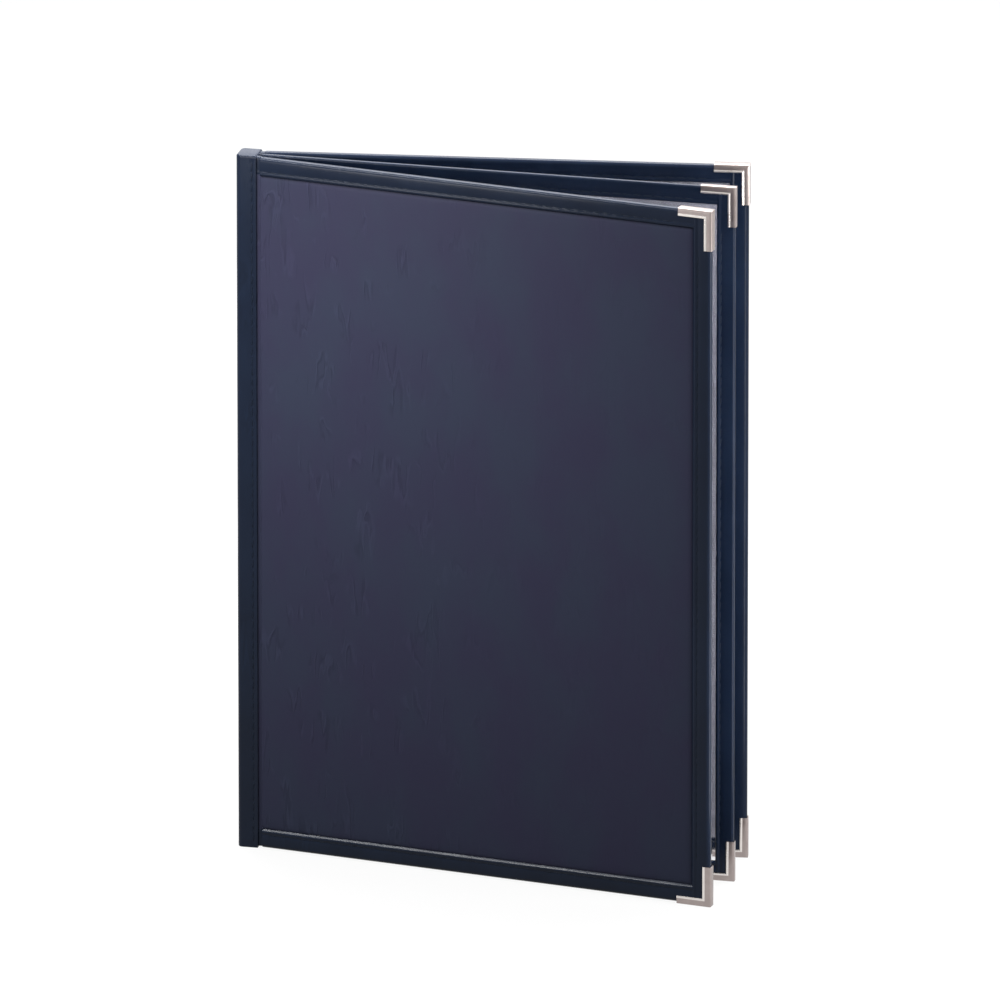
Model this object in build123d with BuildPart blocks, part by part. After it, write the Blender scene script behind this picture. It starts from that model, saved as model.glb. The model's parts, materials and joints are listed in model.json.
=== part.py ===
# Menu cover: three bound leaves on one spine, standing upright and fanned open.
# +Z runs up the spine, +X from the spine to the fore edges, and -Y is the front cover's side.
# The origin is the centre of the spine's foot. Lengths are in millimetres, angles in degrees.

import os
from math import ceil

from build123d import *

os.makedirs("parts", exist_ok=True)

# Overall sizes
HEIGHT = 324.0  # foot to top of the spine and of the metal corners
LEAF_REACH = 217.0  # hinge line to the outer face of a metal corner
FRONT_FAN = 8.5  # front cover's lean away from the page at rest
BACK_FAN = 8.0  # back cover's lean away from the page at rest

# Sheet goods
SKIN = 0.8  # leatherette of the covers, and of the strips that hinge them
BOARD = 1.2  # stiffening board
VINYL = 0.35  # clear sheet
COVER_POCKET = 0.3  # room for a menu sheet in a cover
PAGE_POCKET = 0.4  # room for menu sheets in the clear page
POCKET_SETBACK = 5.0  # open mouth between a cover's hinge and its pocket

# Edge tape, folded over an edge and sewn
TAPE_WIDTH = 8.4
TAPE_CROWN = 0.6  # height of the tape over the sheet, along its flat middle
TAPE_EDGE = 0.35  # and along its inner edge
TAPE_FOLD = 0.8  # thickness at the fold
TAPE_NOSE = 1.2  # depth of the rounded nose at the fold
TAPE_SHOULDER = 1.4  # width of the slope on each side of the flat middle

# Metal corners
CORNER_METAL = 0.4
CORNER_FIT = 0.05  # between the metal and the tape's crown
CORNER_LEG = 16.0  # along the top or bottom edge
CORNER_RISE = 18.6  # up the fore edge
CORNER_BAND = 3.7
CORNER_BEVEL = 0.25

# Thread
STITCH_LENGTH = 3.6
STITCH_PITCH = 4.8
STITCH_WIDTH = 0.6
STITCH_HEIGHT = 0.25
STITCH_MARGIN = 2.0  # stitch line to the tape's inner edge
STITCH_END = 3.0  # least bare tape at each end of a run

# Spine
SPINE_WIDTH = 9.4
SPINE_WALL = 0.6
SPINE_PROUD = 0.15  # how far the spine stands over the closed covers' skin
SPINE_ROUND = 2.0  # radius of its back edges
TAB_DEPTH = 4.0  # how far the leaves' tabs reach into the spine
FILLER_RECESS = 0.4  # packing strips end this far inside the spine's mouth

# Hinges
HINGE_GAP = 0.5  # spine to the hinge lines
GUTTER = 1.5  # hinge line to where a leaf's stiff part begins
LEAF_GAP = 0.3  # between the metal corners of closed leaves
FOLD_BACK_GAP = 0.2  # cover tape to its hinge line, so that it folds back past the spine
PAGE_LAP = 6.5  # how far the page's strip reaches between its clear sheets

# Thickness of each leaf between its tapes, and half its thickness over tapes and corners
PAGE_CORE = 2 * VINYL + PAGE_POCKET
COVER_CORE = SKIN + BOARD + COVER_POCKET + VINYL
PAGE_HALF_TAPE = PAGE_CORE / 2 + TAPE_CROWN
COVER_HALF_TAPE = COVER_CORE / 2 + TAPE_CROWN
PAGE_HALF_CORNER = PAGE_HALF_TAPE + CORNER_FIT + CORNER_METAL
COVER_HALF_CORNER = COVER_HALF_TAPE + CORNER_FIT + CORNER_METAL

# Closed covers lie beside the page, and each turns on a line just outside its own tape
COVER_MIDDLE = PAGE_HALF_CORNER + LEAF_GAP + COVER_HALF_CORNER
COVER_HINGE_Y = COVER_MIDDLE + COVER_HALF_TAPE + FOLD_BACK_GAP
HINGE_X = SPINE_WIDTH / 2 + HINGE_GAP
SPINE_HALF = COVER_MIDDLE + COVER_CORE / 2 + SPINE_PROUD

# Every leaf has the same outline, measured from its hinge line and from the foot
TAPE_INSET = CORNER_METAL + CORNER_FIT
TAPE_END = LEAF_REACH - TAPE_INSET
TAPE_TOP = HEIGHT - TAPE_INSET
SIDE_START = TAPE_END - TAPE_WIDTH
SHEET_END = TAPE_END - TAPE_FOLD
SHEET_FOOT = TAPE_INSET + TAPE_FOLD
SHEET_TOP = HEIGHT - SHEET_FOOT


class Leaf:
    """One leaf's place: its hinge line, its lean, and its middle layer beside the hinge line."""

    def __init__(self, name, hinge_y, lean, middle, core):
        along = Vector(1, 0, 0).rotate(Axis.Z, lean)
        across = Vector(0, 1, 0).rotate(Axis.Z, lean)
        foot = Vector(HINGE_X, hinge_y, 0) + across * middle
        self.name = name
        self.core = core
        # Seen from above: x runs along the leaf, y through it
        self.plan = Plane(origin=foot, x_dir=along, z_dir=(0, 0, 1))
        # Seen from the fore edge: x runs through the leaf, y is up
        self.end = Plane(origin=foot, x_dir=across, z_dir=along)
        # Seen from the front: x runs along the leaf, y is up, z comes forward
        self.face = Plane(origin=foot, x_dir=along, z_dir=-across)


FRONT = Leaf("front", -COVER_HINGE_Y, -FRONT_FAN, COVER_HINGE_Y - COVER_MIDDLE, COVER_CORE)
PAGE = Leaf("page", 0, 0, 0, PAGE_CORE)
BACK = Leaf("back", COVER_HINGE_Y, BACK_FAN, COVER_MIDDLE - COVER_HINGE_Y, COVER_CORE)


def save(piece, label):
    """Name a finished piece and write it to its own file."""
    piece.part.label = label
    export_step(piece.part, f"parts/{label}.step")


def sheet(leaf, start, low, high):
    """A flat sheet of a leaf, from start to the fold, between two heights over its middle."""
    with BuildPart() as piece:
        with BuildSketch(leaf.face.offset(low)):
            with BuildLine():
                Polyline(
                    (start, SHEET_FOOT),
                    (SHEET_END, SHEET_FOOT),
                    (SHEET_END, SHEET_TOP),
                    (start, SHEET_TOP),
                    close=True,
                )
            make_face()
        extrude(amount=high - low)
    return piece


def tape_profile(fold, inward, core):
    """The folded tape's cross-section about y = 0, from its fold towards its inner edges."""
    nose = fold + inward * TAPE_NOSE
    bottom = fold + inward * TAPE_FOLD
    inner = fold + inward * TAPE_WIDTH
    slot = core / 2
    rim = slot + TAPE_EDGE
    crown = slot + TAPE_CROWN
    with BuildLine() as outline:
        ThreePointArc((nose, rim), (fold, 0), (nose, -rim))
        Polyline(
            (nose, -rim),
            (nose + inward * TAPE_SHOULDER, -crown),
            (inner - inward * TAPE_SHOULDER, -crown),
            (inner, -rim),
            (inner, -slot),
            (bottom, -slot),
            (bottom, slot),
            (inner, slot),
            (inner, rim),
            (inner - inward * TAPE_SHOULDER, crown),
            (nose + inward * TAPE_SHOULDER, crown),
            (nose, rim),
        )
    return outline


def side_binding(leaf):
    """The tape along the fore edge, which covers the ends of the other two."""
    with BuildPart() as tape:
        with BuildSketch(leaf.plan.offset(TAPE_INSET)):
            add(tape_profile(TAPE_END, -1, leaf.core).line)
            make_face()
        extrude(amount=TAPE_TOP - TAPE_INSET)
    save(tape, f"{leaf.name}_side_binding")


def level_binding(leaf, edge, fold, inward):
    """The tape along the top or the bottom edge, from the gutter to the side tape."""
    with BuildPart() as tape:
        with BuildSketch(leaf.end.offset(GUTTER)):
            add(tape_profile(fold, inward, leaf.core).line.rotate(Axis.Z, 90).mirror(Plane.YZ))
            make_face()
        extrude(amount=SIDE_START - GUTTER)
    save(tape, f"{leaf.name}_{edge}_binding")


def metal_corner(leaf, edge):
    """An L-shaped metal clip, folded round the edges of one fore-edge corner."""
    half_slot = leaf.core / 2 + TAPE_CROWN + CORNER_FIT
    half = half_slot + CORNER_METAL
    outer_z, inward = (HEIGHT, -1) if edge == "top" else (0, 1)
    with BuildPart() as clip:
        with BuildSketch(leaf.face.offset(-half)):
            with BuildLine():
                Polyline(
                    (LEAF_REACH, outer_z),
                    (LEAF_REACH - CORNER_LEG, outer_z),
                    (LEAF_REACH - CORNER_LEG, outer_z + inward * CORNER_BAND),
                    (LEAF_REACH - CORNER_BAND, outer_z + inward * CORNER_BAND),
                    (LEAF_REACH - CORNER_BAND, outer_z + inward * CORNER_RISE),
                    (LEAF_REACH, outer_z + inward * CORNER_RISE),
                    close=True,
                )
            make_face()
        extrude(amount=2 * half)
        broad_faces = clip.faces().sort_by(Axis(leaf.face.origin, leaf.face.z_dir))
        chamfer(broad_faces[0].edges() + broad_faces[-1].edges(), CORNER_BEVEL)
        with BuildSketch(leaf.face.offset(-half_slot)):
            with BuildLine():
                Polyline(
                    (TAPE_END + CORNER_FIT, outer_z + inward * CORNER_METAL),
                    (TAPE_END - CORNER_LEG, outer_z + inward * CORNER_METAL),
                    (TAPE_END - CORNER_LEG, outer_z + inward * 2 * CORNER_RISE),
                    (TAPE_END + CORNER_FIT, outer_z + inward * 2 * CORNER_RISE),
                    close=True,
                )
            make_face()
        extrude(amount=2 * half_slot, mode=Mode.SUBTRACT)
    save(clip, f"{leaf.name}_{edge}_corner")


def stitch_places(start, end):
    """Evenly spaced stitch centres between two ends, at about the pitch."""
    count = ceil((end - start) / STITCH_PITCH)
    step = (end - start) / count
    return [start + step * (i + 0.5) for i in range(count)]


def leaf_stitching(leaf):
    """The thread through a leaf's three tapes, as it shows on both faces."""
    line_x = SIDE_START + STITCH_MARGIN
    line_z = TAPE_INSET + TAPE_WIDTH - STITCH_MARGIN
    lowest = CORNER_RISE + STITCH_END
    upright = [(line_x, z) for z in stitch_places(lowest, HEIGHT - lowest)]
    across = stitch_places(GUTTER + STITCH_END, LEAF_REACH - CORNER_LEG - STITCH_END)
    level = [(x, z) for x in across for z in (line_z, HEIGHT - line_z)]
    surface = leaf.core / 2 + TAPE_CROWN
    with BuildPart() as thread:
        for side in (surface, -surface - STITCH_HEIGHT):
            with BuildSketch(leaf.face.offset(side)):
                with Locations(*upright):
                    Rectangle(STITCH_WIDTH, STITCH_LENGTH)
                with Locations(*level):
                    Rectangle(STITCH_LENGTH, STITCH_WIDTH)
            extrude(amount=STITCH_HEIGHT)
    save(thread, f"{leaf.name}_stitching")


def cover_hinge_strip(leaf, side):
    """The flexible strip of a cover, from its tab in the spine to the edge of its skin."""
    wall = side * (SPINE_HALF - SPINE_WALL)
    mouth = SPINE_WIDTH / 2
    skin_out = leaf.plan.from_local_coords((GUTTER, side * COVER_CORE / 2, 0))
    skin_in = leaf.plan.from_local_coords((GUTTER, side * (COVER_CORE / 2 - SKIN), 0))
    with BuildPart() as strip:
        with BuildSketch(Plane.XY.offset(SHEET_FOOT)):
            with BuildLine():
                Polyline(
                    (mouth - TAB_DEPTH, wall),
                    (mouth, wall),
                    (skin_out.X, skin_out.Y),
                    (skin_in.X, skin_in.Y),
                    (mouth, wall - side * SKIN),
                    (mouth - TAB_DEPTH, wall - side * SKIN),
                    close=True,
                )
            make_face()
        extrude(amount=SHEET_TOP - SHEET_FOOT)
    save(strip, f"{leaf.name}_hinge_strip")


def cover(leaf, side):
    """A stiff cover: skin outside, board, then a clear pocket that is open towards the spine."""
    outer = -side * leaf.core / 2
    board_face = outer + side * SKIN
    board_back = board_face + side * BOARD
    inner = side * leaf.core / 2
    save(sheet(leaf, GUTTER, *sorted((outer, board_face))), f"{leaf.name}_leatherette")
    save(sheet(leaf, GUTTER, *sorted((board_face, board_back))), f"{leaf.name}_board")
    pocket = sheet(leaf, GUTTER + POCKET_SETBACK, *sorted((inner - side * VINYL, inner)))
    save(pocket, f"{leaf.name}_pocket_vinyl")
    cover_hinge_strip(leaf, side)


def clear_page(leaf):
    """Two clear sheets with room for a menu between them, joined to the spine by a thin strip."""
    save(sheet(leaf, GUTTER, PAGE_POCKET / 2, leaf.core / 2), "page_front_vinyl")
    save(sheet(leaf, GUTTER, -leaf.core / 2, -PAGE_POCKET / 2), "page_back_vinyl")
    tab_start = HINGE_GAP + TAB_DEPTH
    strip = sheet(leaf, -tab_start, -PAGE_POCKET / 2, PAGE_POCKET / 2)
    with strip:
        split(bisect_by=leaf.end.offset(GUTTER + PAGE_LAP), keep=Keep.BOTTOM)
    save(strip, "page_hinge_strip")


def bound_edges(leaf):
    """What every leaf has round its edges: three tapes, thread and two metal corners."""
    side_binding(leaf)
    level_binding(leaf, "top", TAPE_TOP, -1)
    level_binding(leaf, "bottom", TAPE_INSET, 1)
    leaf_stitching(leaf)
    metal_corner(leaf, "top")
    metal_corner(leaf, "bottom")


# The spine is one strip folded round the leaves' tabs, with its two ends tucked in
with BuildPart() as spine_binding:
    with BuildSketch():
        Rectangle(SPINE_WIDTH, 2 * SPINE_HALF)
    extrude(amount=HEIGHT)
    back_edges = spine_binding.edges().filter_by(Axis.Z).group_by(Axis.X)[0]
    fillet(back_edges, SPINE_ROUND)
    with BuildSketch(Plane.XY.offset(SPINE_WALL)):
        with Locations((SPINE_WALL, 0)):
            Rectangle(SPINE_WIDTH, 2 * (SPINE_HALF - SPINE_WALL))
    extrude(amount=HEIGHT - 2 * SPINE_WALL, mode=Mode.SUBTRACT)
save(spine_binding, "spine_binding")

# Packing strips fill the spine between the three tabs
filler_end = SPINE_WIDTH / 2 - FILLER_RECESS
filler_start = -SPINE_WIDTH / 2 + SPINE_WALL
filler_thickness = SPINE_HALF - SPINE_WALL - SKIN - PAGE_POCKET / 2
filler_offset = PAGE_POCKET / 2 + filler_thickness / 2
with BuildPart() as spine_filler:
    with BuildSketch(Plane.XY.offset(SHEET_FOOT)):
        with Locations(
            ((filler_start + filler_end) / 2, -filler_offset),
            ((filler_start + filler_end) / 2, filler_offset),
        ):
            Rectangle(filler_end - filler_start, filler_thickness)
    extrude(amount=SHEET_TOP - SHEET_FOOT)
save(spine_filler, "spine_filler")

# The spine's thread runs the full height, near the mouth, on the front and on the back
spine_line_x = SPINE_WIDTH / 2 - STITCH_MARGIN
spine_places = stitch_places(STITCH_END, HEIGHT - STITCH_END)
with BuildPart() as spine_stitching:
    for face_y in (-SPINE_HALF, SPINE_HALF + STITCH_HEIGHT):
        with BuildSketch(Plane.XZ.offset(-face_y)):
            with Locations(*[(spine_line_x, z) for z in spine_places]):
                Rectangle(STITCH_WIDTH, STITCH_LENGTH)
        extrude(amount=STITCH_HEIGHT)
save(spine_stitching, "spine_stitching")

cover(FRONT, -1)
bound_edges(FRONT)
clear_page(PAGE)
bound_edges(PAGE)
cover(BACK, 1)
bound_edges(BACK)
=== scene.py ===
import json
import math
import random

import bmesh
import bpy
from mathutils import Matrix, Vector, noise


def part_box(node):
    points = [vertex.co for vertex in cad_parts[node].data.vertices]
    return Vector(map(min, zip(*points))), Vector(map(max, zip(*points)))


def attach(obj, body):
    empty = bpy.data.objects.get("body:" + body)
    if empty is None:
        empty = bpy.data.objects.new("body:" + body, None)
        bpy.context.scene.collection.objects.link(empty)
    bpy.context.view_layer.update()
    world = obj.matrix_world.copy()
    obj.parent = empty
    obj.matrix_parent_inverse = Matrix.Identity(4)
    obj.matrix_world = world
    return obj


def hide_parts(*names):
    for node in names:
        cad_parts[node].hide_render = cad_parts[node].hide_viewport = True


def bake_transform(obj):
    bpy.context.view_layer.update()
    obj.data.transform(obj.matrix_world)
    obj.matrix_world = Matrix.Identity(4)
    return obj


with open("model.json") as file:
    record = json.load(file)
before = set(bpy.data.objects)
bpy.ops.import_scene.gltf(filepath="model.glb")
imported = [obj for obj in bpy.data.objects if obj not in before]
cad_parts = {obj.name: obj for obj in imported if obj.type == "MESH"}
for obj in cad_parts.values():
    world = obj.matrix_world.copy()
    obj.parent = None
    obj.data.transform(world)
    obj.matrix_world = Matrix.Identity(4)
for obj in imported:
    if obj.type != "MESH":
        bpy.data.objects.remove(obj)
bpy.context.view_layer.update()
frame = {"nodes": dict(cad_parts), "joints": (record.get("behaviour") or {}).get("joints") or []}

# The spine strip: one length of navy leatherette tape, folded round the leaves' inner edges and
# sewn through near its mouth. Its two ends are tucked in flat, and the lower one is the foot.

spine_low, spine_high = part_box("spine_binding")
SPINE_WALL = 0.0006
SPINE_BACK_RADIUS = 0.0022
END_DEPTH = 0.0012  # the tucked-in ends
STITCH_MARGIN = 0.002  # stitch line to the edge of the tape
STITCH_PITCH = 0.0048
STITCH_END = 0.003  # the tape's end, or a metal corner, to where its row of stitches starts
STITCH_DIP = 0.00011  # how deep the thread pulls the tape in
STITCH_REACH = 0.0006  # how far to each side of its line it pulls
SECTION_STEP = 0.0008  # spacing of the sections of a drawn-out tape
SPINE_TOP_ROUND = 0.0009  # rounding of the rim at the upper end, and at the foot
SPINE_FOOT_ROUND = 0.00035
SPINE_SWAY = 0.00004  # unevenness of its sides, and of its back
BACK_SWAY = 0.00003
TAPE_COLOUR = (0.0066, 0.0122, 0.0280, 1)
TAPE_WORN_COLOUR = (0.0090, 0.0160, 0.0355, 1)


def add_node(tree, kind, inputs=None, **settings):
    """A shader node with its settings, and its unlinked inputs by name or number."""
    node = tree.nodes.new(kind)
    for key, value in settings.items():
        setattr(node, key, value)
    for key, value in (inputs or {}).items():
        node.inputs[key].default_value = value
    return node


def math_node(tree, operation, first, second):
    """Two values through one operation. Each is a socket or a plain number."""
    node = add_node(tree, "ShaderNodeMath", operation=operation)
    for socket, value in zip(node.inputs, (first, second)):
        if isinstance(value, (int, float)):
            socket.default_value = value
        else:
            tree.links.new(value, socket)
    return node.outputs[0]


def ramp_node(tree, value, low, high):
    """A smooth step from 0 to 1 as the value goes from low to high."""
    node = add_node(tree, "ShaderNodeMapRange", interpolation_type="SMOOTHSTEP")
    node.inputs["From Min"].default_value = low
    node.inputs["From Max"].default_value = high
    tree.links.new(value, node.inputs["Value"])
    return node.outputs["Result"]


def stretched_noise(tree, place, scale, detail=2.0, distortion=0.0):
    """Noise whose cells are a different size along each axis. The scale is in cells per metre."""
    spread = add_node(tree, "ShaderNodeMapping", {"Scale": scale})
    cells = add_node(tree, "ShaderNodeTexNoise", {"Scale": 1, "Detail": detail})
    cells.inputs["Distortion"].default_value = distortion
    tree.links.new(place, spread.inputs["Vector"])
    tree.links.new(spread.outputs["Vector"], cells.inputs["Vector"])
    return cells.outputs["Fac"]


CREASED_TO = 0.05  # spine to where the creases begin to fade, and to where they are faint
FAINT_FROM = 0.13
FAINT_CREASE = 0.2


def make_grain_group():
    """Pebbled grain, and upright creases that are strongest near the spine. In millimetres."""
    group = bpy.data.node_groups.new("leatherette_grain", "ShaderNodeTree")
    for name in ("Grain per metre", "Grain mm", "Crease mm"):
        group.interface.new_socket(name=name, in_out="INPUT", socket_type="NodeSocketFloat")
    for name in ("Height", "Mottle", "Crease"):
        group.interface.new_socket(name=name, in_out="OUTPUT", socket_type="NodeSocketFloat")
    given = add_node(group, "NodeGroupInput")
    result = add_node(group, "NodeGroupOutput")
    place = add_node(group, "ShaderNodeTexCoord").outputs["Object"]
    pebbles = add_node(group, "ShaderNodeTexVoronoi", feature="SMOOTH_F1")
    group.links.new(place, pebbles.inputs["Vector"])
    group.links.new(given.outputs["Grain per metre"], pebbles.inputs["Scale"])
    pores = stretched_noise(group, place, (2600, 2600, 2600), detail=1.0)
    grain = math_node(group, "ADD", pebbles.outputs["Distance"], pores)
    grain = math_node(group, "MULTIPLY", grain, given.outputs["Grain mm"])
    # A crease is a crest with a valley beside it. Both follow level lines of the same noise.
    wander = stretched_noise(group, place, (190, 190, 34), detail=2.0, distortion=0.5)
    crest = math_node(group, "ABSOLUTE", math_node(group, "SUBTRACT", wander, 0.49), 0)
    valley = math_node(group, "ABSOLUTE", math_node(group, "SUBTRACT", wander, 0.55), 0)
    line = math_node(
        group, "SUBTRACT", ramp_node(group, crest, 0.05, 0.0), ramp_node(group, valley, 0.05, 0.0)
    )
    patches = stretched_noise(group, place, (95, 95, 60), detail=1.0)
    crease = math_node(group, "MULTIPLY", line, ramp_node(group, patches, 0.48, 0.63))
    across = add_node(group, "ShaderNodeSeparateXYZ")
    group.links.new(place, across.inputs[0])
    flexed = ramp_node(group, across.outputs[0], FAINT_FROM, CREASED_TO)
    flexed = math_node(group, "MULTIPLY", flexed, 1 - FAINT_CREASE)
    flexed = math_node(group, "ADD", flexed, FAINT_CREASE)
    crease = math_node(group, "MULTIPLY", crease, flexed)
    raised = math_node(group, "MULTIPLY", crease, given.outputs["Crease mm"])
    mottle = stretched_noise(group, place, (44, 44, 26), detail=5.0)
    group.links.new(math_node(group, "ADD", grain, raised), result.inputs["Height"])
    group.links.new(mottle, result.inputs["Mottle"])
    # The crease pattern also goes out on its own, for the painted highlight and shade along the
    # creases.
    group.links.new(crease, result.inputs["Crease"])
    return group


grain_group = make_grain_group()


def new_material(name):
    """An empty material with its Principled shader, and its node tree."""
    material = bpy.data.materials.new(name)
    material.use_nodes = True
    tree = material.node_tree
    tree.nodes.clear()
    shader = add_node(tree, "ShaderNodeBsdfPrincipled")
    surface = add_node(tree, "ShaderNodeOutputMaterial")
    tree.links.new(shader.outputs["BSDF"], surface.inputs["Surface"])
    return material, tree, shader, surface


def mixed_colour(tree, shader, factor, first, second, lightness=None):
    """The base colour goes from the first colour to the second with the factor."""
    # A Mix node takes its two colours at sockets 6 and 7, and puts the mixed one out at 2.
    mix = add_node(tree, "ShaderNodeMix", {6: first, 7: second}, data_type="RGBA")
    tree.links.new(factor, mix.inputs["Factor"])
    colour = mix.outputs[2]
    if lightness:
        shade = add_node(tree, "ShaderNodeHueSaturation")
        tree.links.new(colour, shade.inputs["Color"])
        tree.links.new(lightness, shade.inputs["Value"])
        colour = shade.outputs["Color"]
    tree.links.new(colour, shader.inputs["Base Color"])


def set_roughness(tree, shader, factor, low, high):
    """The roughness goes from low to high with the factor."""
    spread = add_node(tree, "ShaderNodeMapRange", {"To Min": low, "To Max": high})
    tree.links.new(factor, spread.inputs["Value"])
    tree.links.new(spread.outputs["Result"], shader.inputs["Roughness"])


def set_bump(tree, shader, height):
    """Heights in millimetres bend the surface's normal."""
    bump = add_node(tree, "ShaderNodeBump", {"Strength": 1.0, "Distance": 0.001})
    tree.links.new(height, bump.inputs["Height"])
    tree.links.new(bump.outputs["Normal"], shader.inputs["Normal"])


GRAIN_PER_METRE = 1150
CREASE_PAINTED_LIGHT = 0.13  # painted highlight and shade: how much lighter a crease's crest and darker its valley are made
GROOVE_PAINTED_SHADOW = 0.6  # painted shadow: how much darker the colour is made at the bottom of the groove along the tape


def leatherette(name, colour, worn_colour, grain, crease, roughness, specular):
    """Navy coated fabric. Mottling varies its tone and gloss. A crease gets a painted highlight on
    its crest and painted shade in its valley, and the groove along the tape is darkened as painted
    shadow.
    """
    material, tree, shader, _ = new_material(name)
    skin = add_node(tree, "ShaderNodeGroup", node_tree=grain_group)
    skin.inputs["Grain per metre"].default_value = GRAIN_PER_METRE
    skin.inputs["Grain mm"].default_value = grain
    skin.inputs["Crease mm"].default_value = crease
    tone = ramp_node(tree, skin.outputs["Mottle"], 0.3, 0.7)
    # Painted highlight and shade: a crease's crest is made lighter and its valley darker.
    crease_painted_light = math_node(tree, "MULTIPLY", skin.outputs["Crease"], CREASE_PAINTED_LIGHT)
    # Painted shadow: the colour is darker where the pressed attribute marks the groove beside the
    # tape.
    pressed = add_node(tree, "ShaderNodeAttribute", attribute_name="pressed").outputs["Fac"]
    shade = math_node(tree, "MULTIPLY", ramp_node(tree, pressed, 0.15, 0.8), GROOVE_PAINTED_SHADOW)
    lightness = math_node(tree, "SUBTRACT", math_node(tree, "ADD", crease_painted_light, 1.0), shade)
    mixed_colour(tree, shader, tone, colour, worn_colour, lightness)
    set_roughness(tree, shader, skin.outputs["Mottle"], *roughness)
    set_bump(tree, shader, skin.outputs["Height"])
    shader.inputs["Specular IOR Level"].default_value = specular
    return material


tape_skin = leatherette(
    "tape_leatherette", TAPE_COLOUR, TAPE_WORN_COLOUR, grain=0.012, crease=0.0,
    roughness=(0.20, 0.28), specular=0.13,
)


def drawn_out(outline, length, step):
    """A closed outline in XY, drawn out along Z and divided into even steps."""
    bm = bmesh.new()
    end = bm.faces.new([bm.verts.new((x, y, 0)) for x, y in outline])
    made = bmesh.ops.extrude_face_region(bm, geom=[end])
    moved = [item for item in made["geom"] if isinstance(item, bmesh.types.BMVert)]
    bmesh.ops.translate(bm, verts=moved, vec=(0, 0, length))
    long_edges = [e for e in bm.edges if abs(e.verts[0].co.z - e.verts[1].co.z) > length / 2]
    cuts = max(1, round(length / step)) - 1
    bmesh.ops.subdivide_edges(bm, edges=long_edges, cuts=cuts, use_grid_fill=True)
    return bm


def stitch_places(start, end):
    """Evenly spaced stitch centres between two ends."""
    count = math.ceil((end - start) / STITCH_PITCH)
    step = (end - start) / count
    return [start + step * (i + 0.5) for i in range(count)]


def pull(along, places):
    """How strongly the thread pulls at a point: most at the needle holes between two stitches."""
    step = places[1] - places[0]
    if not places[0] - step < along < places[-1] + step:
        return 0.0
    return 0.5 - 0.5 * math.cos(2 * math.pi * (along - places[0]) / step)


def finish_piece(bm, name, material, nodes, sharp):
    """A mesh becomes a piece that stands for its CAD nodes. Edges over sharp degrees stay crisp."""
    bmesh.ops.recalc_face_normals(bm, faces=bm.faces)
    mesh = bpy.data.meshes.new(name)
    bm.to_mesh(mesh)
    bm.free()
    mesh.shade_smooth()
    mesh.set_sharp_from_angle(angle=math.radians(sharp))
    mesh.materials.append(material)
    piece = bpy.data.objects.new(name, mesh)
    bpy.context.scene.collection.objects.link(piece)
    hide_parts(*nodes)
    return piece


def spine_outline():
    """Half of the folded strip in plan, from its thinned lip round the back, then mirrored."""
    half = spine_high.y
    mouth = spine_high.x
    line_x = spine_high.x - STITCH_MARGIN
    outer = [
        (mouth, half - 0.00010),
        (mouth - 0.00010, half - 0.00002),
        (mouth - 0.0007, half),
        (line_x + 0.0005, half - 0.00008),
        (line_x, half - 0.00016),
        (line_x - 0.0005, half - 0.00008),
        (line_x - 0.0011, half - 0.00001),
        (line_x - 0.0024, half),
    ]
    back = spine_low.x + SPINE_BACK_RADIUS
    for i in range(7):
        turn = math.radians(90 * i / 6)
        outer.append(
            (
                back - SPINE_BACK_RADIUS * math.sin(turn),
                half - SPINE_BACK_RADIUS * (1 - math.cos(turn)),
            )
        )
    inner_corner = 0.0012
    inner = [
        (mouth - 0.0007, half - SPINE_WALL),
        (spine_low.x + SPINE_WALL + inner_corner, half - SPINE_WALL),
        (spine_low.x + SPINE_WALL, half - SPINE_WALL - inner_corner),
    ]
    ring = outer + [(x, -y) for x, y in reversed(outer)]
    return ring + [(x, -y) for x, y in inner] + list(reversed(inner))


spine_places = stitch_places(STITCH_END, spine_high.z - STITCH_END)
spine_line_x = spine_high.x - STITCH_MARGIN


def make_spine():
    """The strip, with its tucked-in ends as two thin lids whose edges are rounded over."""
    bm = drawn_out(spine_outline(), spine_high.z - 2 * END_DEPTH, SECTION_STEP)
    bmesh.ops.translate(bm, verts=bm.verts, vec=(0, 0, END_DEPTH))
    for v in bm.verts:
        reach = math.exp(-(((v.co.x - spine_line_x) / STITCH_REACH) ** 2))
        if abs(v.co.y) > spine_high.y - SPINE_WALL + 0.0001:
            dip = STITCH_DIP * reach * pull(v.co.z, spine_places)
            sway = SPINE_SWAY * noise.noise(Vector((v.co.x * 60, v.co.y * 9, v.co.z * 45)))
            v.co.y -= math.copysign(dip - sway, v.co.y)
        v.co.x += BACK_SWAY * noise.noise(Vector((1.5, v.co.y * 30, v.co.z * 60)))
    for level, rim_z, rim_round in (
        (0.0, 0.0, SPINE_FOOT_ROUND),
        (spine_high.z - END_DEPTH, spine_high.z, SPINE_TOP_ROUND),
    ):
        lid = bmesh.ops.create_cube(bm, size=1.0)["verts"]
        size = (spine_high.x - spine_low.x, spine_high.y - spine_low.y, END_DEPTH)
        bmesh.ops.scale(bm, verts=lid, vec=size)
        bmesh.ops.translate(bm, verts=lid, vec=(0, 0, level + END_DEPTH / 2))
        edges = {e for v in lid for e in v.link_edges}
        uprights = [e for e in edges if abs(e.verts[0].co.z - e.verts[1].co.z) > 1e-6]
        backs = [e for e in uprights if e.verts[0].co.x < 0]
        bmesh.ops.bevel(
            bm, geom=backs, offset=SPINE_BACK_RADIUS, offset_type="OFFSET", segments=6,
            profile=0.5, affect="EDGES", material=-1,
        )
        rim = [e for e in bm.edges if all(abs(v.co.z - rim_z) < 1e-6 for v in e.verts)]
        bmesh.ops.bevel(
            bm, geom=rim, offset=rim_round, offset_type="OFFSET", segments=5, profile=0.5,
            affect="EDGES", material=-1,
        )
    piece = finish_piece(bm, "spine_strip", tape_skin, ["spine_binding"], sharp=35)
    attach(piece, "spine")


make_spine()


# The packing in the spine: two strips of soft grey board, glued in between the tabs of the three
# leaves. They end well inside the mouth, so that the leaves' soft edges have room to move.


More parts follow.
